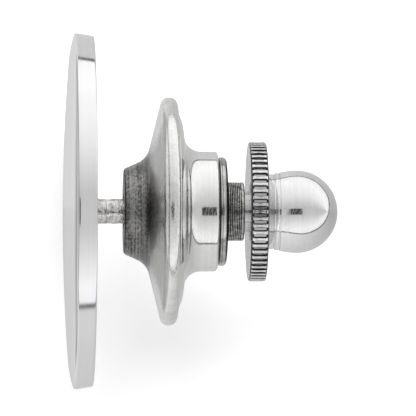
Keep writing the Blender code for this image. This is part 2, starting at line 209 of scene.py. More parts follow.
def vectorNode(material, operation, first, second):
    node = material.node_tree.nodes.new("ShaderNodeVectorMath")
    node.operation = operation
    link(material, first, node.inputs[0])
    if isinstance(second, tuple):
        node.inputs[1].default_value = second
    elif isinstance(second, (int, float)):
        node.inputs["Scale"].default_value = second
    elif second is not None:
        link(material, second, node.inputs[1])
    return node.outputs["Value" if operation in ("LENGTH", "DOT_PRODUCT") else "Vector"]


def noiseNode(material, vector, scale, detail=3.0, roughness=0.55, distortion=0.0):
    node = material.node_tree.nodes.new("ShaderNodeTexNoise")
    link(material, vector, node.inputs["Vector"])
    node.inputs["Scale"].default_value = scale
    node.inputs["Detail"].default_value = detail
    node.inputs["Roughness"].default_value = roughness
    node.inputs["Distortion"].default_value = distortion
    return node.outputs["Fac"]


def rangeNode(material, value, fromLow, fromHigh, toLow, toHigh):
    node = material.node_tree.nodes.new("ShaderNodeMapRange")
    node.interpolation_type = "SMOOTHSTEP"
    link(material, value, node.inputs["Value"])
    node.inputs["From Min"].default_value = fromLow
    node.inputs["From Max"].default_value = fromHigh
    node.inputs["To Min"].default_value = toLow
    node.inputs["To Max"].default_value = toHigh
    return node.outputs["Result"]


def mixColor(material, factor, first, second):
    node = material.node_tree.nodes.new("ShaderNodeMix")
    node.data_type = "RGBA"
    link(material, factor, node.inputs["Factor"])
    for socket, value in ((node.inputs[6], first), (node.inputs[7], second)):
        if isinstance(value, tuple):
            socket.default_value = (*value, 1)
        else:
            link(material, value, socket)
    return node.outputs[2]


def bumpNode(material, height, depth, below=None):
    node = material.node_tree.nodes.new("ShaderNodeBump")
    node.inputs["Distance"].default_value = depth * mm
    link(material, height, node.inputs["Height"])
    if below is not None:
        link(material, below, node.inputs["Normal"])
    return node.outputs["Normal"]


plainMetal = {
    "light": (0.80, 0.80, 0.81),
    "dark": (0.62, 0.62, 0.63),   # colour of smudges and dull patches
    "rough": (0.08, 0.16),        # polish of the cleanest and the dullest parts
    "lines": 14.0,                # turning lines per mm
    "lineDepth": 0.0006,
    "lineWander": 0.12,           # how soon a line fades as it goes round
    "smudge": 0.7,                # smudges per mm
    "scratch": 0.0008,            # depth of stray scratches
    "scratchScale": 1.6,
    "dent": 0.0,                  # depth of small dents
    "dentScale": 3.0,
}


def turnedMetal(name, **changes):
    look = {**plainMetal, **changes}
    material = bpy.data.materials.new(name)
    material.use_nodes = True
    nodes = material.node_tree.nodes
    shader = nodes["Principled BSDF"]
    shader.inputs["Metallic"].default_value = 1.0
    coords = nodes.new("ShaderNodeTexCoord").outputs["Object"]
    place = vectorNode(material, "SCALE", coords, 1 / mm)
    split = nodes.new("ShaderNodeSeparateXYZ")
    link(material, place, split.inputs[0])
    fromAxis = vectorNode(material, "LENGTH", vectorNode(material, "MULTIPLY", place, (0, 1, 1)), None)

    # lines that run round the post: they change with place and radius, slowly with the angle
    ring = nodes.new("ShaderNodeCombineXYZ")
    link(material, mathNode(material, "MULTIPLY", split.outputs["X"], look["lines"]), ring.inputs["X"])
    link(material, mathNode(material, "MULTIPLY", fromAxis, look["lines"]), ring.inputs["Y"])
    wander = vectorNode(material, "SCALE", place, look["lineWander"])
    ringPlace = vectorNode(material, "ADD", ring.outputs[0], wander)
    lines = noiseNode(material, ringPlace, 1.0, 4.0, 0.65)

    smudge = noiseNode(material, place, look["smudge"], 4.0, 0.6, 0.6)
    smudgeShare = rangeNode(material, smudge, 0.38, 0.72, 0.0, 1.0)
    lineShare = rangeNode(material, lines, 0.35, 0.7, 0.0, 1.0)
    dullness = mathNode(material, "MULTIPLY", smudgeShare, 0.6)
    dullness = mathNode(material, "ADD", dullness, mathNode(material, "MULTIPLY", lineShare, 0.4))
    color = mixColor(material, dullness, look["light"], look["dark"])

    # stray scratches: thin crests of a strongly bent wave
    wave = nodes.new("ShaderNodeTexWave")
    link(material, place, wave.inputs["Vector"])
    wave.inputs["Scale"].default_value = look["scratchScale"]
    wave.inputs["Distortion"].default_value = 14.0
    wave.inputs["Detail"].default_value = 3.0
    wave.inputs["Detail Scale"].default_value = 1.3
    scratch = rangeNode(material, wave.outputs["Fac"], 0.975, 1.0, 0.0, 1.0)

    normal = bumpNode(material, lines, look["lineDepth"])
    normal = bumpNode(material, scratch, look["scratch"], normal)
    if look["dent"] > 0:
        dents = noiseNode(material, place, look["dentScale"], 3.0, 0.6, 0.8)
        normal = bumpNode(material, dents, look["dent"], normal)
        pits = rangeNode(material, dents, 0.3, 0.45, 1.0, 0.0)
        color = mixColor(material, mathNode(material, "MULTIPLY", pits, 0.5), color, look["dark"])
    # painted shade: inside a given radius, in grooves and steps, the colour turns to a near-black shade
    # colour
    if "recess" in look:
        low, high, shadeColor = look["recess"]
        depth = rangeNode(material, fromAxis, low, high, 1.0, 0.0)
        color = mixColor(material, depth, color, shadeColor)
    # painted shade: inside a second, smaller radius, at the bottom of grooves, the colour turns to a
    # mid-grey shade colour
    if "floor" in look:
        low, high, floorColor = look["floor"]
        depth = rangeNode(material, fromAxis, low, high, 1.0, 0.0)
        color = mixColor(material, depth, color, floorColor)
    if "backFace" in look:
        start, end, backColor = look["backFace"]
        share = rangeNode(material, split.outputs["X"], start, end, 0.0, 1.0)
        color = mixColor(material, share, color, backColor)
    # painted shade: in front of a given place along the post the colour turns dark, two dark tones mixed
    # by a brushed grain, standing in for the dark reflections there
    if "zone" in look:
        start, end, zoneDark, zoneLight = look["zone"]
        grain = noiseNode(material, place, 8.0, 4.0, 0.7)
        brushed = mathNode(material, "MULTIPLY", mathNode(material, "ADD", grain, lines), 0.5)
        brushed = rangeNode(material, brushed, 0.4, 0.6, 0.0, 1.0)
        zoneShare = rangeNode(material, split.outputs["X"], start, end, 1.0, 0.0)
        color = mixColor(material, zoneShare, color, mixColor(material, brushed, zoneDark, zoneLight))
    # painted shade: in front of a given place along the post the colour turns near black, a painted dark
    # line at the front edge
    if "cutEdge" in look:
        start, end, edgeShadeColor = look["cutEdge"]
        share = rangeNode(material, split.outputs["X"], start, end, 1.0, 0.0)
        color = mixColor(material, share, color, edgeShadeColor)
    link(material, color, shader.inputs["Base Color"])
    roughness = rangeNode(material, dullness, 0.0, 1.0, look["rough"][0], look["rough"][1])
    if "zone" in look:
        haze = mathNode(material, "MULTIPLY", zoneShare, look["zoneHaze"])
        roughness = mathNode(material, "ADD", roughness, haze)
    link(material, roughness, shader.inputs["Roughness"])
    link(material, normal, shader.inputs["Normal"])
    return material


facePlate = {
    "backRadius": 8.42,
    "backRound": 0.08,
    "flatRadius": 2.6,
    "domeRadius": 7.3,
    "domeRise": 0.27,
    "shoulderRound": 5.2,
    "cornerAt": 8.46,
    "wallSteps": 12,
    "steps": 256,
}


def makeFacePlate():
    f = facePlate
    low, high = boxMm("face_plate")
    front, back, rim = low.x, high.x, high.z
    domeRound = (f["domeRadius"] ** 2 + f["domeRise"] ** 2) / (2 * f["domeRise"])
    flatSlope = math.asin(f["flatRadius"] / domeRound)
    domeSlope = math.asin(f["domeRadius"] / domeRound)
    climb = (f["cornerAt"] - f["domeRadius"]) / f["shoulderRound"]
    rimSlope = math.asin(math.sin(domeSlope) + climb)
    cornerRound = (rim - f["cornerAt"]) / (1 - math.sin(rimSlope))
    domeCenter = (front + domeRound * math.cos(flatSlope), 0)
    shoulderCenter = takeOver(domeCenter, domeRound, domeSlope, f["shoulderRound"])
    cornerCenter = takeOver(shoulderCenter, f["shoulderRound"], rimSlope, cornerRound)
    flat, dome, edge = (180 - math.degrees(s) for s in (flatSlope, domeSlope, rimSlope))
    corners = [
        (back, 0),
        (back, f["backRadius"], f["backRound"]),
        (cornerCenter[0], rim),
    ]
    points = smoothOutline(corners)[:-1]
    points += evenSteps(points[-1], (cornerCenter[0], rim), f["wallSteps"])[1:-1]
    points += arcPoints(cornerCenter, cornerRound, 90, edge, 8)
    points += arcPoints(shoulderCenter, f["shoulderRound"], edge, dome, 8)[1:]
    points += arcPoints(domeCenter, domeRound, dome, flat, 12)[1:]
    points += [(front, f["flatRadius"] / 2), (front, 0)]
    piece = spinOutline("facePlate", points, f["steps"])
    metal = turnedMetal("rhodiumPlate", light=(0.86, 0.86, 0.87), dark=(0.80, 0.80, 0.81),
                        rough=(0.06, 0.1), lines=5.0, lineDepth=0.0003, lineWander=0.05,
                        smudge=0.25, scratch=0.0002, scratchScale=0.9,
                        backFace=(back - 0.05, back - 0.02, (0.8, 0.8, 0.8)))
    finishPiece(piece, "pin", "face_plate", metal, 40)
    print("face plate done")
    return piece


def takeOver(center, radius, slope, nextRadius):
    # center of the next arc, so that it leaves this one without a kink
    step = radius - nextRadius
    return (center[0] - step * math.cos(slope), center[1] + step * math.sin(slope))


post = {
    "point": 1.6,
    "tip": 0.06,
    "grooveAt": 0.75,
    "grooveWidth": 0.3,
    "grooveDepth": 0.02,
    "grooveRound": 0.03,
    "rings": 60,
    "wear": 0.035,
    "wearSize": 0.25,
    "steps": 96,
}


def makePost():
    p = post
    low, high = boxMm("post")
    foot, tip, radius = low.x, high.x, high.z
    shoulder = tip - p["point"]
    grooveBack = p["grooveAt"] + p["grooveWidth"] / 2
    grooveFront = p["grooveAt"] - p["grooveWidth"] / 2
    grooveBottom = radius - p["grooveDepth"]
    points = [(tip, 0), (tip - p["tip"] * 0.3, p["tip"] * 0.8), (tip - p["tip"], p["tip"] * 1.2)]
    points += evenSteps((shoulder, radius), (grooveBack, radius), p["rings"])
    points += smoothOutline([
        (grooveBack, radius),
        (grooveBack - p["grooveDepth"], grooveBottom, p["grooveRound"]),
        (grooveFront + p["grooveDepth"], grooveBottom, p["grooveRound"]),
        (grooveFront, radius),
    ], 4)[1:]
    points += evenSteps((grooveFront, radius), (foot, radius), 6)[1:]
    points += [(foot, 0)]
    piece = spinOutline("postPin", points, p["steps"])
    roughenShape(piece, p["wear"], p["wearSize"])
    metal = turnedMetal("drawnWire", light=(0.86, 0.85, 0.84), dark=(0.3, 0.29, 0.28),
                        rough=(0.05, 0.16), lines=9.0, lineDepth=0.0015, lineWander=1.2,
                        smudge=2.2, scratch=0.004, scratchScale=5.0, dent=0.05, dentScale=3.0)
    finishPiece(piece, "pin", "post", metal)
    print("post done")
    return piece


def evenSteps(start, end, count):
    return [(start[0] + (end[0] - start[0]) * i / count, start[1] + (end[1] - start[1]) * i / count)
            for i in range(count + 1)]


solder = {"lip": 0.02, "round": 0.15, "steps": 64}


def makeSolder():
    s = solder
    low, high = boxMm("solder_fillet")
    inner = boxMm("post")[1].z + s["lip"]
    corners = [
        (high.x, inner),
        (high.x, inner + s["lip"]),
        (low.x + s["lip"], inner + s["lip"], s["round"]),
        (low.x + s["lip"], high.z),
        (low.x, high.z),
        (low.x, inner),
    ]
    piece = spinOutline("solderFoot", smoothOutline(corners), s["steps"], closed=True)
    metal = turnedMetal("platedSolder", light=(0.74, 0.74, 0.74), dark=(0.5, 0.5, 0.5),
                        rough=(0.2, 0.4), lines=4.0, lineWander=2.0, dent=0.01, dentScale=5.0)
    finishPiece(piece, "pin", "solder_fillet", metal)
    print("solder done")
    return piece


frontShell = {
    "noseRadius": 2.0,
    "noseBreak": 0.08,
    "noseRound": 0.05,
    "holeRadius": 0.85,
    "flareAt": 1.11,              # from the nose face
    "flareRadius": 2.54,
    "flareRound": 1.0,
    "rimFront": 1.84,             # from the nose face
    "rimRound": 0.37,
    "lipRadius": 4.88,
    "sheet": 0.22,
    "wear": 0.012,
    "wearSize": 0.9,
    "steps": 192,
}


def makeFrontShell():
    f = frontShell
    low, high = boxMm("front_shell")
    nose, rimBack, rim = low.x, high.x, high.z
    corners = [
        (rimBack, f["lipRadius"]),
        (rimBack, rim, f["rimRound"]),
        (nose + f["rimFront"], rim, f["rimRound"]),
        (nose + f["flareAt"], f["flareRadius"], f["flareRound"]),
        (nose + f["noseBreak"], f["noseRadius"] + f["noseBreak"], f["noseRound"]),
        (nose, f["noseRadius"], f["noseRound"]),
        (nose, f["holeRadius"]),
    ]
    piece = spinOutline("frontShell", smoothOutline(corners, 12), f["steps"])
    roughenShape(piece, f["wear"], f["wearSize"])
    giveThickness(piece, f["sheet"])
    metal = turnedMetal("wornNickelShadedNose", light=(0.84, 0.835, 0.83), dark=(0.66, 0.655, 0.65),
                        rough=(0.06, 0.18), lines=11.0, lineDepth=0.0014, lineWander=0.25,
                        smudge=0.9, scratch=0.002, scratchScale=2.2,
                        dent=0.008, dentScale=5.0,
                        # painted shade: the nose and the flare behind it are painted dark
                        zone=(nose + 1.05, nose + 1.45, (0.09, 0.088, 0.086), (0.42, 0.415, 0.41)),
                        zoneHaze=0.22,
                        # painted shade: the nose's end face is painted near black for a dark line at its
                        # edge
                        cutEdge=(nose + 0.02, nose + 0.05, (0.04, 0.04, 0.04)))
    finishPiece(piece, "housing", "front_shell", metal)
    print("front shell done")
    return piece


rearShell = {
    "barrelFront": 1.5,           # from the barrel's end
    "barrelRadius": 2.885,
    "barrelRound": 0.15,
    "footRound": 0.8,
    "bulge": (1.7, 4.3, 1.0),     # from the barrel's end, radius, rounding
    "lipRadius": 2.45,
    "flangeStep": 0.06,
    "flangeBack": 0.26,           # flange face, in front of the rolled rim's back
    "joggle": (0.04, 4.76, 0.05),  # behind the rim, radius, rounding
    "sheet": 0.25,
    "wear": 0.01,
    "wearSize": 1.1,
    "steps": 192,
}


def makeRearShell():
    r = rearShell
    back = boxMm("rear_shell")[1]
    rimBack = boxMm("front_shell")[1].x
    end, rim = back.x, back.z
    bulge, bulgeRadius, bulgeRound = r["bulge"]
    joggle, joggleRadius, joggleRound = r["joggle"]
    corners = [
        (end, r["lipRadius"]),
        (end, r["barrelRadius"], r["barrelRound"]),
        (end - r["barrelFront"], r["barrelRadius"], r["footRound"]),
        (end - bulge, bulgeRadius, bulgeRound),
        (rimBack + joggle, joggleRadius, joggleRound),
        (rimBack - r["flangeBack"], joggleRadius + r["flangeStep"]),
        (rimBack - r["flangeBack"], rim),
    ]
    piece = spinOutline("rearShell", smoothOutline(corners, 10), r["steps"])
    roughenShape(piece, r["wear"], r["wearSize"])
    giveThickness(piece, r["sheet"])
    metal = turnedMetal("barrelNickel", light=(0.83, 0.83, 0.825), dark=(0.74, 0.735, 0.73),
                        rough=(0.05, 0.11), lines=9.0, lineDepth=0.0006, lineWander=0.3,
                        smudge=0.8, scratch=0.0016, scratchScale=2.0)
    finishPiece(piece, "housing", "rear_shell", metal)
    print("rear shell done")
    return piece


endCap = {
    "bandRound": 0.2,
    "groove": 0.22,
    "step": (0.09, 0.06),         # width and depth, beside the barrel's end
    "line": (0.17, 0.02, 0.03),   # turned line: from the barrel's end, half width, depth
    "insideDepth": 0.22,
    "cupRadius": 2.05,
    "floor": 0.45,
    "sleeveGap": 0.05,
    "seatGap": 0.02,
    "contact": 0.005,             # clear of the barrel's end
    "steps": 160,
}


def makeEndCap():
    e = endCap
    low, high = boxMm("end_cap")
    barrelEnd = boxMm("rear_shell")[1].x
    hole = boxMm("neck_sleeve")[1].z + e["sleeveGap"]
    back, band = high.x, high.z
    face = barrelEnd + e["contact"]
    inside = low.x + e["insideDepth"]
    stepWidth, step = e["step"]
    line, halfWidth, lineDepth = e["line"]
    line += barrelEnd
    corners = [
        (back, hole),
        (back, band, e["bandRound"]),
        (line + halfWidth, band),
        (line, band - lineDepth),
        (line - halfWidth, band),
        (barrelEnd + stepWidth, band),
        (barrelEnd + stepWidth - 0.01, band - step),
        (face, band - step),
        (face, band - e["groove"]),
        (inside, band - e["groove"]),
        (inside, band - e["seatGap"]),
        (low.x, band - e["seatGap"]),
        (low.x, e["cupRadius"]),
        (back - e["floor"], e["cupRadius"]),
        (back - e["floor"], hole),
    ]
    piece = spinOutline("endCap", smoothOutline(corners), e["steps"], closed=True)
    metal = turnedMetal("capSteel", light=(0.6, 0.595, 0.59), dark=(0.3, 0.295, 0.29),
                        rough=(0.1, 0.24), lines=16.0, lineDepth=0.003, lineWander=0.2,
                        # painted shade: the band's step and turned line are painted near black
                        smudge=1.5, recess=(band - step, band - 0.012, (0.03, 0.03, 0.03)))
    finishPiece(piece, "housing", "end_cap", metal)
    print("end cap done")
    return piece


coneSeat = {
    "collarWidth": 0.28,
    "bodyRadius": 2.42,
    "coneAngle": 15,
    "ballRoom": 0.03,             # between the orbit and the throat
    "shoulder": 1.1,
    "slope": (0.22, 2.14),        # length in front of the shoulder, radius at its end
    "noseRadius": 1.7,
    "steps": 96,
}


def makeConeSeat():
    c = coneSeat
    low, high = boxMm("cone_seat")
    orbit = boxMm("ball_1")[1].z
    ballPlace = (boxMm("ball_1")[0].x + boxMm("ball_1")[1].x) / 2
    slope = math.tan(math.radians(c["coneAngle"]))
    throat = orbit + c["ballRoom"]
    backHole = throat + (high.x - ballPlace) * slope
    frontHole = throat + (low.x - ballPlace) * slope
    corners = [
        (high.x, high.z, 0.04),
        (high.x - c["collarWidth"], high.z, 0.03),
        (high.x - c["collarWidth"], c["bodyRadius"]),
        (low.x + c["shoulder"], c["bodyRadius"], 0.05),
        (low.x + c["shoulder"] - c["slope"][0], c["slope"][1]),
        (low.x, c["noseRadius"], 0.04),
        (low.x, frontHole),
        (high.x, backHole),
    ]
    piece = spinOutline("coneSeat", smoothOutline(corners, 4), c["steps"], closed=True)
    metal = turnedMetal("hardenedSteel", light=(0.58, 0.58, 0.59), dark=(0.4, 0.4, 0.42),
                        rough=(0.12, 0.24), lines=18.0, lineDepth=0.002)
    finishPiece(piece, "ball_race", "cone_seat", metal)
    print("cone seat done")
    return piece


lockBall = {"cuts": 11}


def makeBalls():
    # a cube cut fine and blown up to a ball has no poles
    metal = turnedMetal("ballSteel", light=(0.82, 0.82, 0.83), dark=(0.72, 0.72, 0.73),
                        rough=(0.04, 0.08), lines=3.0, lineWander=3.0, scratch=0.0003)
    for number in (1, 2, 3):
        node = f"ball_{number}"
        low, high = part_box(node)
        radius = (high.x - low.x) / 2
        cleanSlate()
        bpy.ops.mesh.primitive_cube_add(size=radius, location=(low + high) / 2)
        piece = bpy.context.active_object
        piece.name = piece.data.name = f"lockBall{number}"
        bpy.ops.object.mode_set(mode="EDIT")
        bpy.ops.mesh.select_all(action="SELECT")
        bpy.ops.mesh.subdivide(number_cuts=lockBall["cuts"])
        bpy.ops.object.mode_set(mode="OBJECT")
        swell = piece.modifiers.new("ball", "CAST")
        swell.cast_type = "SPHERE"
        swell.factor = 1.0
        swell.size = radius
        swell.use_radius_as_size = False
        applyModifier(piece, swell)
        bpy.ops.object.transform_apply(location=True, rotation=True, scale=True)
        finishPiece(piece, f"lock_ball_{number}", node, metal, 60)
    print("balls done")


plunger = {
    "tubeRadius": 0.97,
    "boreRadius": 0.66,
    "cageRadius": 1.25,
    "cageLength": 1.22,
    "shoulderWidth": 0.23,
    "pocketRadius": 0.48,
    "pocketDepth": 1.2,
    "washerLap": 0.1,             # the shoulder is this much lower than the washer
    "steps": 96,
}


def makePlunger():
    p = plunger
    low, high = boxMm("plunger_tube")
    ballLow, ballHigh = boxMm("ball_1")
    shoulderFront = low.x + p["cageLength"]
    shoulderBack = shoulderFront + p["shoulderWidth"]
    shoulder = boxMm("spring_washer")[1].z - p["washerLap"]
    corners = [
        (high.x, p["tubeRadius"], 0.05),
        (shoulderBack, p["tubeRadius"]),
        (shoulderBack, shoulder, 0.03),
        (shoulderFront, shoulder, 0.03),
        (shoulderFront, p["cageRadius"]),
        (low.x, p["cageRadius"], 0.08),
        (low.x, p["boreRadius"]),
        (high.x, p["boreRadius"]),
    ]
    piece = spinOutline("plungerTube", smoothOutline(corners, 4), p["steps"], closed=True)
    for turn in (0, 120, 240):
        angle = math.radians(turn)
        orbit = (ballLow.z + ballHigh.z) / 2
        place = ((ballLow.x + ballHigh.x) / 2, -orbit * math.sin(angle), orbit * math.cos(angle))
        cutPocket(piece, place, angle)
    metal = turnedMetal("plungerSteel", light=(0.82, 0.82, 0.82), dark=(0.55, 0.55, 0.55),
                        rough=(0.05, 0.12), lines=12.0, lineDepth=0.001)
    finishPiece(piece, "plunger", "plunger_tube", metal)
    print("plunger done")
    return piece


def cutPocket(piece, place, angle):
    radius, depth = plunger["pocketRadius"] * mm, plunger["pocketDepth"] * mm
    cleanSlate()
    bpy.ops.mesh.primitive_cylinder_add(vertices=48, radius=radius, depth=depth,
                                        location=[v * mm for v in place], rotation=(angle, 0, 0))
    drill = bpy.context.active_object
    pocket = piece.modifiers.new("pocket", "BOOLEAN")
    pocket.operation = "DIFFERENCE"
    pocket.object = drill
    applyModifier(piece, pocket)
    bpy.data.objects.remove(drill, do_unlink=True)


coil = {"wire": 0.1, "radius": 1.61, "turns": 4.5, "perTurn": 48, "wireSides": 16}


def makeSpring():
    c = coil
    low, high = boxMm("spring")
    length = high.x - low.x - 2 * c["wire"]
    cleanSlate()
    start = ((low.x + c["wire"]) * mm, c["radius"] * mm, 0)
    bpy.ops.mesh.primitive_circle_add(vertices=c["wireSides"], radius=c["wire"] * mm,
                                      fill_type="NOTHING", location=start)
    piece = bpy.context.active_object
    piece.name = piece.data.name = "pushSpring"
    bpy.ops.object.transform_apply(location=True, rotation=True, scale=True)
    wind = piece.modifiers.new("wind", "SCREW")
    wind.axis = "X"
    wind.angle = 2 * math.pi * c["turns"]
    wind.screw_offset = length * mm
    wind.steps = wind.render_steps = int(c["perTurn"] * c["turns"])
    applyModifier(piece, wind)
    bpy.ops.object.mode_set(mode="EDIT")
    bpy.ops.mesh.select_mode(type="EDGE")
    bpy.ops.mesh.select_all(action="DESELECT")
    bpy.ops.mesh.select_non_manifold(extend=False, use_wire=False, use_boundary=True,
                                     use_multi_face=False, use_non_contiguous=False,
                                     use_verts=False)
    bpy.ops.mesh.edge_face_add()
    tidyMesh()
    bpy.ops.object.mode_set(mode="OBJECT")
    metal = turnedMetal("springWire", light=(0.7, 0.7, 0.7), dark=(0.5, 0.5, 0.5),
                        rough=(0.12, 0.25), lines=6.0, lineWander=2.0)
    finishPiece(piece, "housing", "spring", metal, 50)
    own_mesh(piece)
    print("spring done")
    return piece


washer = {"gap": 0.03, "edge": 0.03, "steps": 96}


def makeWasher():
    w = washer
    low, high = boxMm("spring_washer")
    inner = boxMm("neck_sleeve")[1].z + w["gap"]
    corners = [
        (high.x, high.z, w["edge"]),
        (low.x, high.z, w["edge"]),
        (low.x, inner),
        (high.x, inner),
    ]
    piece = spinOutline("springWasher", smoothOutline(corners, 4), w["steps"], closed=True)
    metal = turnedMetal("washerSteel", light=(0.68, 0.68, 0.68), dark=(0.5, 0.5, 0.5))
    finishPiece(piece, "washer", "spring_washer", metal)
    print("washer done")
    return piece


sleeve = {
    "pitch": 0.085,               # turning ridges
    "ridge": 0.022,
    "plainEnd": 0.12,
    "edge": 0.04,                 # break of the back edge
    "boreRadius": 0.99,
    "wear": 0.02,
    "wearSize": 0.2,
    "steps": 128,
}


def makeSleeve():
    s = sleeve
    low, high = boxMm("neck_sleeve")
    top = high.z
    points = [
        (high.x, s["boreRadius"]),
        (high.x, top - s["edge"] - 0.01),
        (high.x - s["edge"], top - 0.01),
    ]
    place = high.x - s["plainEnd"]
    while place - s["pitch"] > low.x + s["plainEnd"]:
        points += [
            (place, top - 0.002),
            (place - s["pitch"] * 0.3, top - 0.004),
            (place - s["pitch"] * 0.5, top - s["ridge"]),
            (place - s["pitch"] * 0.75, top - s["ridge"]),
        ]
        place -= s["pitch"]
    points += [(place, top - 0.002), (low.x, top - 0.002), (low.x, s["boreRadius"])]
    piece = spinOutline("neckSleeve", points, s["steps"], closed=True)
    metal = turnedMetal("roughTurned", light=(0.86, 0.85, 0.84), dark=(0.16, 0.155, 0.15),
                        rough=(0.24, 0.5), lines=8.0, lineDepth=0.006, lineWander=1.4,
                        smudge=3.5, scratch=0.004, scratchScale=6.0, dent=0.02, dentScale=7.0,
                        # painted shade: the grooves between the turning ridges are painted near black
                        recess=(top - s["ridge"], top - 0.006, (0.02, 0.02, 0.02)))
    finishPiece(piece, "plunger", "neck_sleeve", metal, 25)
    print("neck sleeve done")
    return piece


knurl = {
    "count": 62,
    "depth": 0.12,
    "openShare": 0.33,            # half the groove, as a share of the pitch
    "wall": 0.3,                  # the walls' share of half the groove
    "endWall": 0.14,              # the ends' share of half its length
    "bandEdge": 0.05,             # plain rim on each side of the grooves
    "rimRound": 0.12,
    "columns": 16,                # facets across one ridge and groove
    "rows": 28,
    "holeRadius": 0.99,
}


def grooveDepth(across, along):
    # across: -0.5 to 0.5 of the pitch; along: -1 to 1 of the groove's length
    if abs(along) >= 1:
        return 0.0
    half = knurl["openShare"] * (1 - abs(along) ** 5) ** 0.4
    if abs(across) >= half:
        return 0.0
    fromWall = (1 - abs(across) / half) / knurl["wall"]
    fromEnd = (1 - abs(along)) / knurl["endWall"]
    return min(1.0, fromWall) * min(1.0, fromEnd)


def makeKnurledRing():
    k = knurl
    low, high = boxMm("knurled_ring")
    front, back, rim = low.x, high.x, high.z
    bandFront, bandBack = front + k["bandEdge"], back - k["bandEdge"]
    corners = [
        (back, k["holeRadius"]),
        (back, rim * 0.6),
        (back, rim, k["rimRound"]),
    ]
    points = smoothOutline(corners + [(front, rim)], 5)[:-1]
    points += evenSteps((back - k["rimRound"], rim), (front + k["rimRound"], rim), k["rows"])[1:]
    points += smoothOutline([(back, rim), (front, rim, k["rimRound"]), (front, rim * 0.6)], 5)[2:]
    points += [(front, k["holeRadius"])]
    pitch = 2 * math.pi / k["count"]
    piece = drawOutline("knurledRing", points + [points[0]])
    bpy.ops.mesh.select_all(action="SELECT")
    bpy.ops.mesh.spin(steps=k["columns"], angle=pitch, center=(0, 0, 0), axis=(1, 0, 0))
    tidyMesh()
    bpy.ops.object.mode_set(mode="OBJECT")

    # one ridge and groove is pressed in, then carried round
    grooves = piece.vertex_groups.new(name="groove")
    middle, halfBand = (bandFront + bandBack) / 2, (bandBack - bandFront) / 2
    angles = [math.atan2(-v.co.y, v.co.z) for v in piece.data.vertices]
    start = min(angles)
    for vert, angle in zip(piece.data.vertices, angles):
        if math.hypot(vert.co.y, vert.co.z) > (rim - k["rimRound"]) * mm:
            across = (angle - start) / (max(angles) - start) - 0.5
            along = (vert.co.x / mm - middle) / halfBand
            grooves.add([vert.index], grooveDepth(across, along), "REPLACE")
    press = piece.modifiers.new("press", "DISPLACE")
    press.strength = -k["depth"] * mm
    press.mid_level = 0.0
    press.vertex_group = "groove"
    applyModifier(piece, press)
    bpy.ops.object.mode_set(mode="EDIT")
    bpy.ops.mesh.select_all(action="SELECT")
    bpy.ops.mesh.spin(steps=k["count"] - 1, angle=pitch * (k["count"] - 1), dupli=True,
                      center=(0, 0, 0), axis=(1, 0, 0))
    tidyMesh()
    bpy.ops.object.mode_set(mode="OBJECT")
    piece.vertex_groups.clear()
    metal = turnedMetal("knurledNickel", light=(0.84, 0.84, 0.84), dark=(0.6, 0.6, 0.6),
                        rough=(0.1, 0.22), lines=10.0, lineDepth=0.001, lineWander=1.0,
                        smudge=2.0, scratch=0.0015, scratchScale=3.0,
                        dent=0.006, dentScale=6.0,
                        # painted shade: the groove walls are painted near black and the groove floors mid
                        # grey
                        recess=(rim - 0.035, rim - 0.005, (0.04, 0.04, 0.04)),
                        floor=(rim - 0.115, rim - 0.085, (0.45, 0.45, 0.45)))
    finishPiece(piece, "plunger", "knurled_ring", metal, 45)
    print("knurled ring done")
    return piece


knob = {
    "neckRadius": 1.84,
    "rings": ((0.36, 0.05), (0.59, 0.03)),   # grooves: place from the front, depth
    "ringWidth": 0.05,
    "domeAt": 1.99,               # from the tip
    "socketDepth": 0.54,
    "hollowRadius": 1.32,
    "hollowStep": 0.15,
    "holeRadius": 0.99,
    "collarDip": 0.06,            # the collar's front is this much slimmer than its neck
    "collarSwell": 1.4,           # how late the collar swells
    "collarSteps": 12,
    "edge": 0.04,                 # break of the front edge
    "wear": 0.012,
    "wearSize": 1.1,
    "steps": 160,
}


def makeKnob():
    k = knob
    low, high = boxMm("knob_cap")
    front, tip, radius = low.x, high.x, high.z
    domeAt = tip - k["domeAt"]
    points = arcPoints((domeAt, 0), radius, 0, 90, 28)
    points[0] = (tip, 0)

    def waist(place):
        # the collar swells gently towards the dome
        share = (place - front) / (domeAt - front)
        slim = k["neckRadius"] - k["collarDip"]
        return slim + (radius - slim) * math.sin(share * math.pi / 2) ** k["collarSwell"]

    edges = []
    for at, depth in reversed(k["rings"]):
        place = front + at
        edges += [
            (place + k["ringWidth"], waist(place + k["ringWidth"])),
            (place + k["ringWidth"] * 0.4, waist(place) - depth),
            (place - k["ringWidth"] * 0.4, waist(place) - depth),
            (place - k["ringWidth"], waist(place - k["ringWidth"])),
        ]
    firstRing = edges[0][0]
    for i in range(1, k["collarSteps"]):
        place = domeAt + (firstRing - domeAt) * i / k["collarSteps"]
        points.append((place, waist(place)))
    points += edges
    points += [
        (front + 0.15, waist(front + 0.15)),
        (front + k["edge"], waist(front)),
        (front, waist(front) - 0.05),
        (front, k["holeRadius"]),
        (front + k["socketDepth"], k["holeRadius"]),
        (front + k["socketDepth"], k["hollowRadius"]),
    ]
    inner = arcPoints((domeAt + k["hollowStep"], 0), k["hollowRadius"], 90, 0, 10)
    inner[-1] = (domeAt + k["hollowStep"] + k["hollowRadius"], 0)
    piece = spinOutline("knobCap", points + inner, k["steps"])
    roughenShape(piece, k["wear"], k["wearSize"])
    metal = turnedMetal("knobPolish", light=(0.82, 0.82, 0.82), dark=(0.72, 0.72, 0.72),
                        rough=(0.05, 0.09), lines=8.0, lineDepth=0.0002, lineWander=0.4,
                        smudge=0.7, scratch=0.001, scratchScale=1.8)
    finishPiece(piece, "plunger", "knob_cap", metal)
    print("knob done")
    return piece


studio = {
    "floorSize": 1.2,             # metres
    "floorColor": (0.92, 0.92, 0.92),
    "floorGap": 0.01,             # under the lowest piece
    "grain": 900.0,               # paper grain per metre
    "grainShade": 0.985,
    "floorGlow": 0.3,             # a light table, lit from below
}


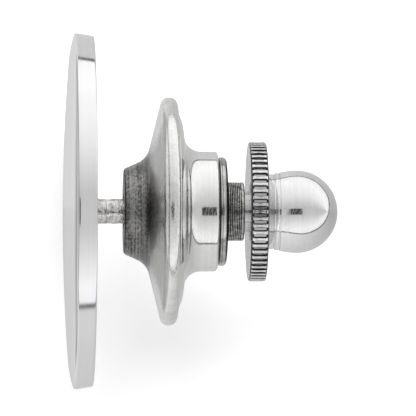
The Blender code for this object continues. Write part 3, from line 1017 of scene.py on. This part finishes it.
def makeFloor():
    cleanSlate()
    height = cadBox[0].z - studio["floorGap"] * mm
    bpy.ops.mesh.primitive_plane_add(size=studio["floorSize"], location=(0, 0, height))
    floor = bpy.context.active_object
    floor.name = "paleFloor"
    paper = bpy.data.materials.new("palePaper")
    paper.use_nodes = True
    shader = paper.node_tree.nodes["Principled BSDF"]
    shader.inputs["Roughness"].default_value = 0.9
    coords = paper.node_tree.nodes.new("ShaderNodeTexCoord").outputs["Object"]
    grain = noiseNode(paper, coords, studio["grain"], 3.0)
    shade = tuple(c * studio["grainShade"] for c in studio["floorColor"])
    color = mixColor(paper, grain, studio["floorColor"], shade)
    link(paper, color, shader.inputs["Base Color"])
    shader.inputs["Emission Color"].default_value = (1, 1, 1, 1)
    shader.inputs["Emission Strength"].default_value = studio["floorGlow"]
    floor.data.materials.append(paper)
    floor.visible_glossy = False


# brightness by the angle round the post, from straight up towards +Y, in degrees
tent = {
    "cloth": ((-180, 0.9), (-50, 1.1), (-12, 0.68), (12, 0.64), (50, 1.0), (90, 1.2), (180, 1.0)),
    "table": ((-180, 0.6), (-65, 0.85), (65, 0.8), (180, 0.66)),
    "horizon": (0.14, 0.448, 0.88),       # upright of the tilted horizon
    "seam": 0.06,
    "seamDark": 0.9,
    # share of the light by direction along the post: a dark gap beside the plate
    "tableSide": ((-1, 1.35), (-0.6, 0.5), (-0.4, 1.2), (0.03, 1.0), (1, 0.75)),
    "clothSide": ((-1, 0.9), (-0.72, 0.2), (-0.35, 1.0), (1, 1.0)),
    "gap": (7, 10),               # the lens looks through a gap: half angle of its dark and of its edge
    "gapReach": (0.15, 0.28),     # and how far it runs along the post
    "gapDark": 0.88,
    "backdrop": 1.0,
}


def glowRamp(world, value, stopList):
    # brightness along a line of (place, brightness) stops
    low, high = stopList[0][0], stopList[-1][0]
    top = max(glow for _, glow in stopList)
    fromLow = mathNode(world, "SUBTRACT", value, low)
    ramp = world.node_tree.nodes.new("ShaderNodeValToRGB")
    link(world, mathNode(world, "DIVIDE", fromLow, high - low), ramp.inputs["Fac"])
    stops = ramp.color_ramp.elements
    for i, (place, glow) in enumerate(stopList):
        share = (place - low) / (high - low)
        stop = stops[i] if i < 2 else stops.new(share)
        stop.position = share
        stop.color = (glow / top, glow / top, glow / top, 1)
    return mathNode(world, "MULTIPLY", ramp.outputs["Color"], top)


def makeTent():
    world = bpy.data.worlds.new("lightTent")
    bpy.context.scene.world = world
    world.use_nodes = True
    nodes = world.node_tree.nodes
    way = nodes.new("ShaderNodeTexCoord").outputs["Generated"]
    split = nodes.new("ShaderNodeSeparateXYZ")
    link(world, way, split.inputs[0])
    angle = mathNode(world, "ARCTAN2", split.outputs["Y"], split.outputs["Z"])
    angle = mathNode(world, "DEGREES", angle)
    cloth = glowRamp(world, angle, tent["cloth"])
    clothSide = glowRamp(world, split.outputs["X"], tent["clothSide"])
    cloth = mathNode(world, "MULTIPLY", cloth, clothSide)
    gap = rangeNode(world, mathNode(world, "ABSOLUTE", angle), *tent["gap"], tent["gapDark"], 0.0)
    reach = rangeNode(world, mathNode(world, "ABSOLUTE", split.outputs["X"]), *tent["gapReach"], 1.0, 0.0)
    gap = mathNode(world, "MULTIPLY", gap, reach)
    cloth = mathNode(world, "MULTIPLY", cloth, mathNode(world, "SUBTRACT", 1.0, gap))
    tableSide = glowRamp(world, split.outputs["X"], tent["tableSide"])
    table = mathNode(world, "MULTIPLY", glowRamp(world, angle, tent["table"]), tableSide)
    height = vectorNode(world, "DOT_PRODUCT", way, tent["horizon"])
    above = rangeNode(world, height, -tent["seam"] / 2, tent["seam"] / 2, 0.0, 1.0)
    below = mathNode(world, "SUBTRACT", 1.0, above)
    glow = mathNode(world, "ADD", mathNode(world, "MULTIPLY", above, cloth),
                    mathNode(world, "MULTIPLY", below, table))
    seam = rangeNode(world, mathNode(world, "ABSOLUTE", height), 0.0, tent["seam"], tent["seamDark"], 0.0)
    glow = mathNode(world, "MULTIPLY", glow, mathNode(world, "SUBTRACT", 1.0, seam))
    seen = nodes.new("ShaderNodeLightPath").outputs["Is Camera Ray"]
    flat = mathNode(world, "MULTIPLY", seen, tent["backdrop"])
    rest = mathNode(world, "MULTIPLY", mathNode(world, "SUBTRACT", 1.0, seen), glow)
    link(world, mathNode(world, "ADD", flat, rest), nodes["Background"].inputs["Color"])


softbox = {
    "size": (0.12, 0.1),          # metres, as place and aim are
    "place": (0.02, 0.12, 0.16),
    "aim": (0.005, 0, 0),
    "watts": 0.35,
}


def makeSoftbox():
    cleanSlate()
    lamp = bpy.data.lights.new("topSoftbox", "AREA")
    lamp.shape = "RECTANGLE"
    lamp.size, lamp.size_y = softbox["size"]
    lamp.energy = softbox["watts"]
    box = bpy.data.objects.new("topSoftbox", lamp)
    bpy.context.scene.collection.objects.link(box)
    box.location = softbox["place"]
    aim = Vector(softbox["aim"]) - box.location
    box.rotation_mode = "QUATERNION"
    box.rotation_quaternion = aim.to_track_quat("-Z", "Y")
    box.visible_camera = False
    box.visible_glossy = False


lens = {
    "distance": 261.5,            # mm from the object
    "turn": 2.7,                  # degrees towards the plate's front
    "lean": 0.15,                 # degrees of roll
    "field": 4.38,                # degrees across the picture
    "aim": (5.52, 0.17, 0.0),
}


def makeCamera():
    data = bpy.data.cameras.new("camera")
    camera = bpy.data.objects.new("camera", data)
    bpy.context.scene.collection.objects.link(camera)
    data.sensor_width = 36
    data.lens = 18 / math.tan(math.radians(lens["field"] / 2))
    data.clip_start, data.clip_end = 0.01, 20
    turn = math.radians(lens["turn"])
    away = Vector((-math.sin(turn), 0, math.cos(turn)))
    aim = Vector(lens["aim"]) * mm
    camera.location = aim + away * lens["distance"] * mm
    lean = math.radians(lens["lean"])
    up = Vector((-math.sin(lean), math.cos(lean), 0))
    right = up.cross(away).normalized()
    up = away.cross(right)
    camera.matrix_world = columnMatrix(right, up, away, camera.location)
    bpy.context.scene.camera = camera


def columnMatrix(right, up, back, place):
    matrix = Matrix((right, up, back)).transposed().to_4x4()
    matrix.translation = place
    return matrix


makeCamera()
makeFloor()
makeTent()
makeSoftbox()
makeFacePlate()
makePost()
makeSolder()
makeFrontShell()
makeRearShell()
makeEndCap()
makeConeSeat()
makeBalls()
makePlunger()
makeSleeve()
makeSpring()
makeWasher()
makeKnurledRing()
makeKnob()
bpy.context.scene.view_settings.view_transform = "Standard"

print("all pieces done")
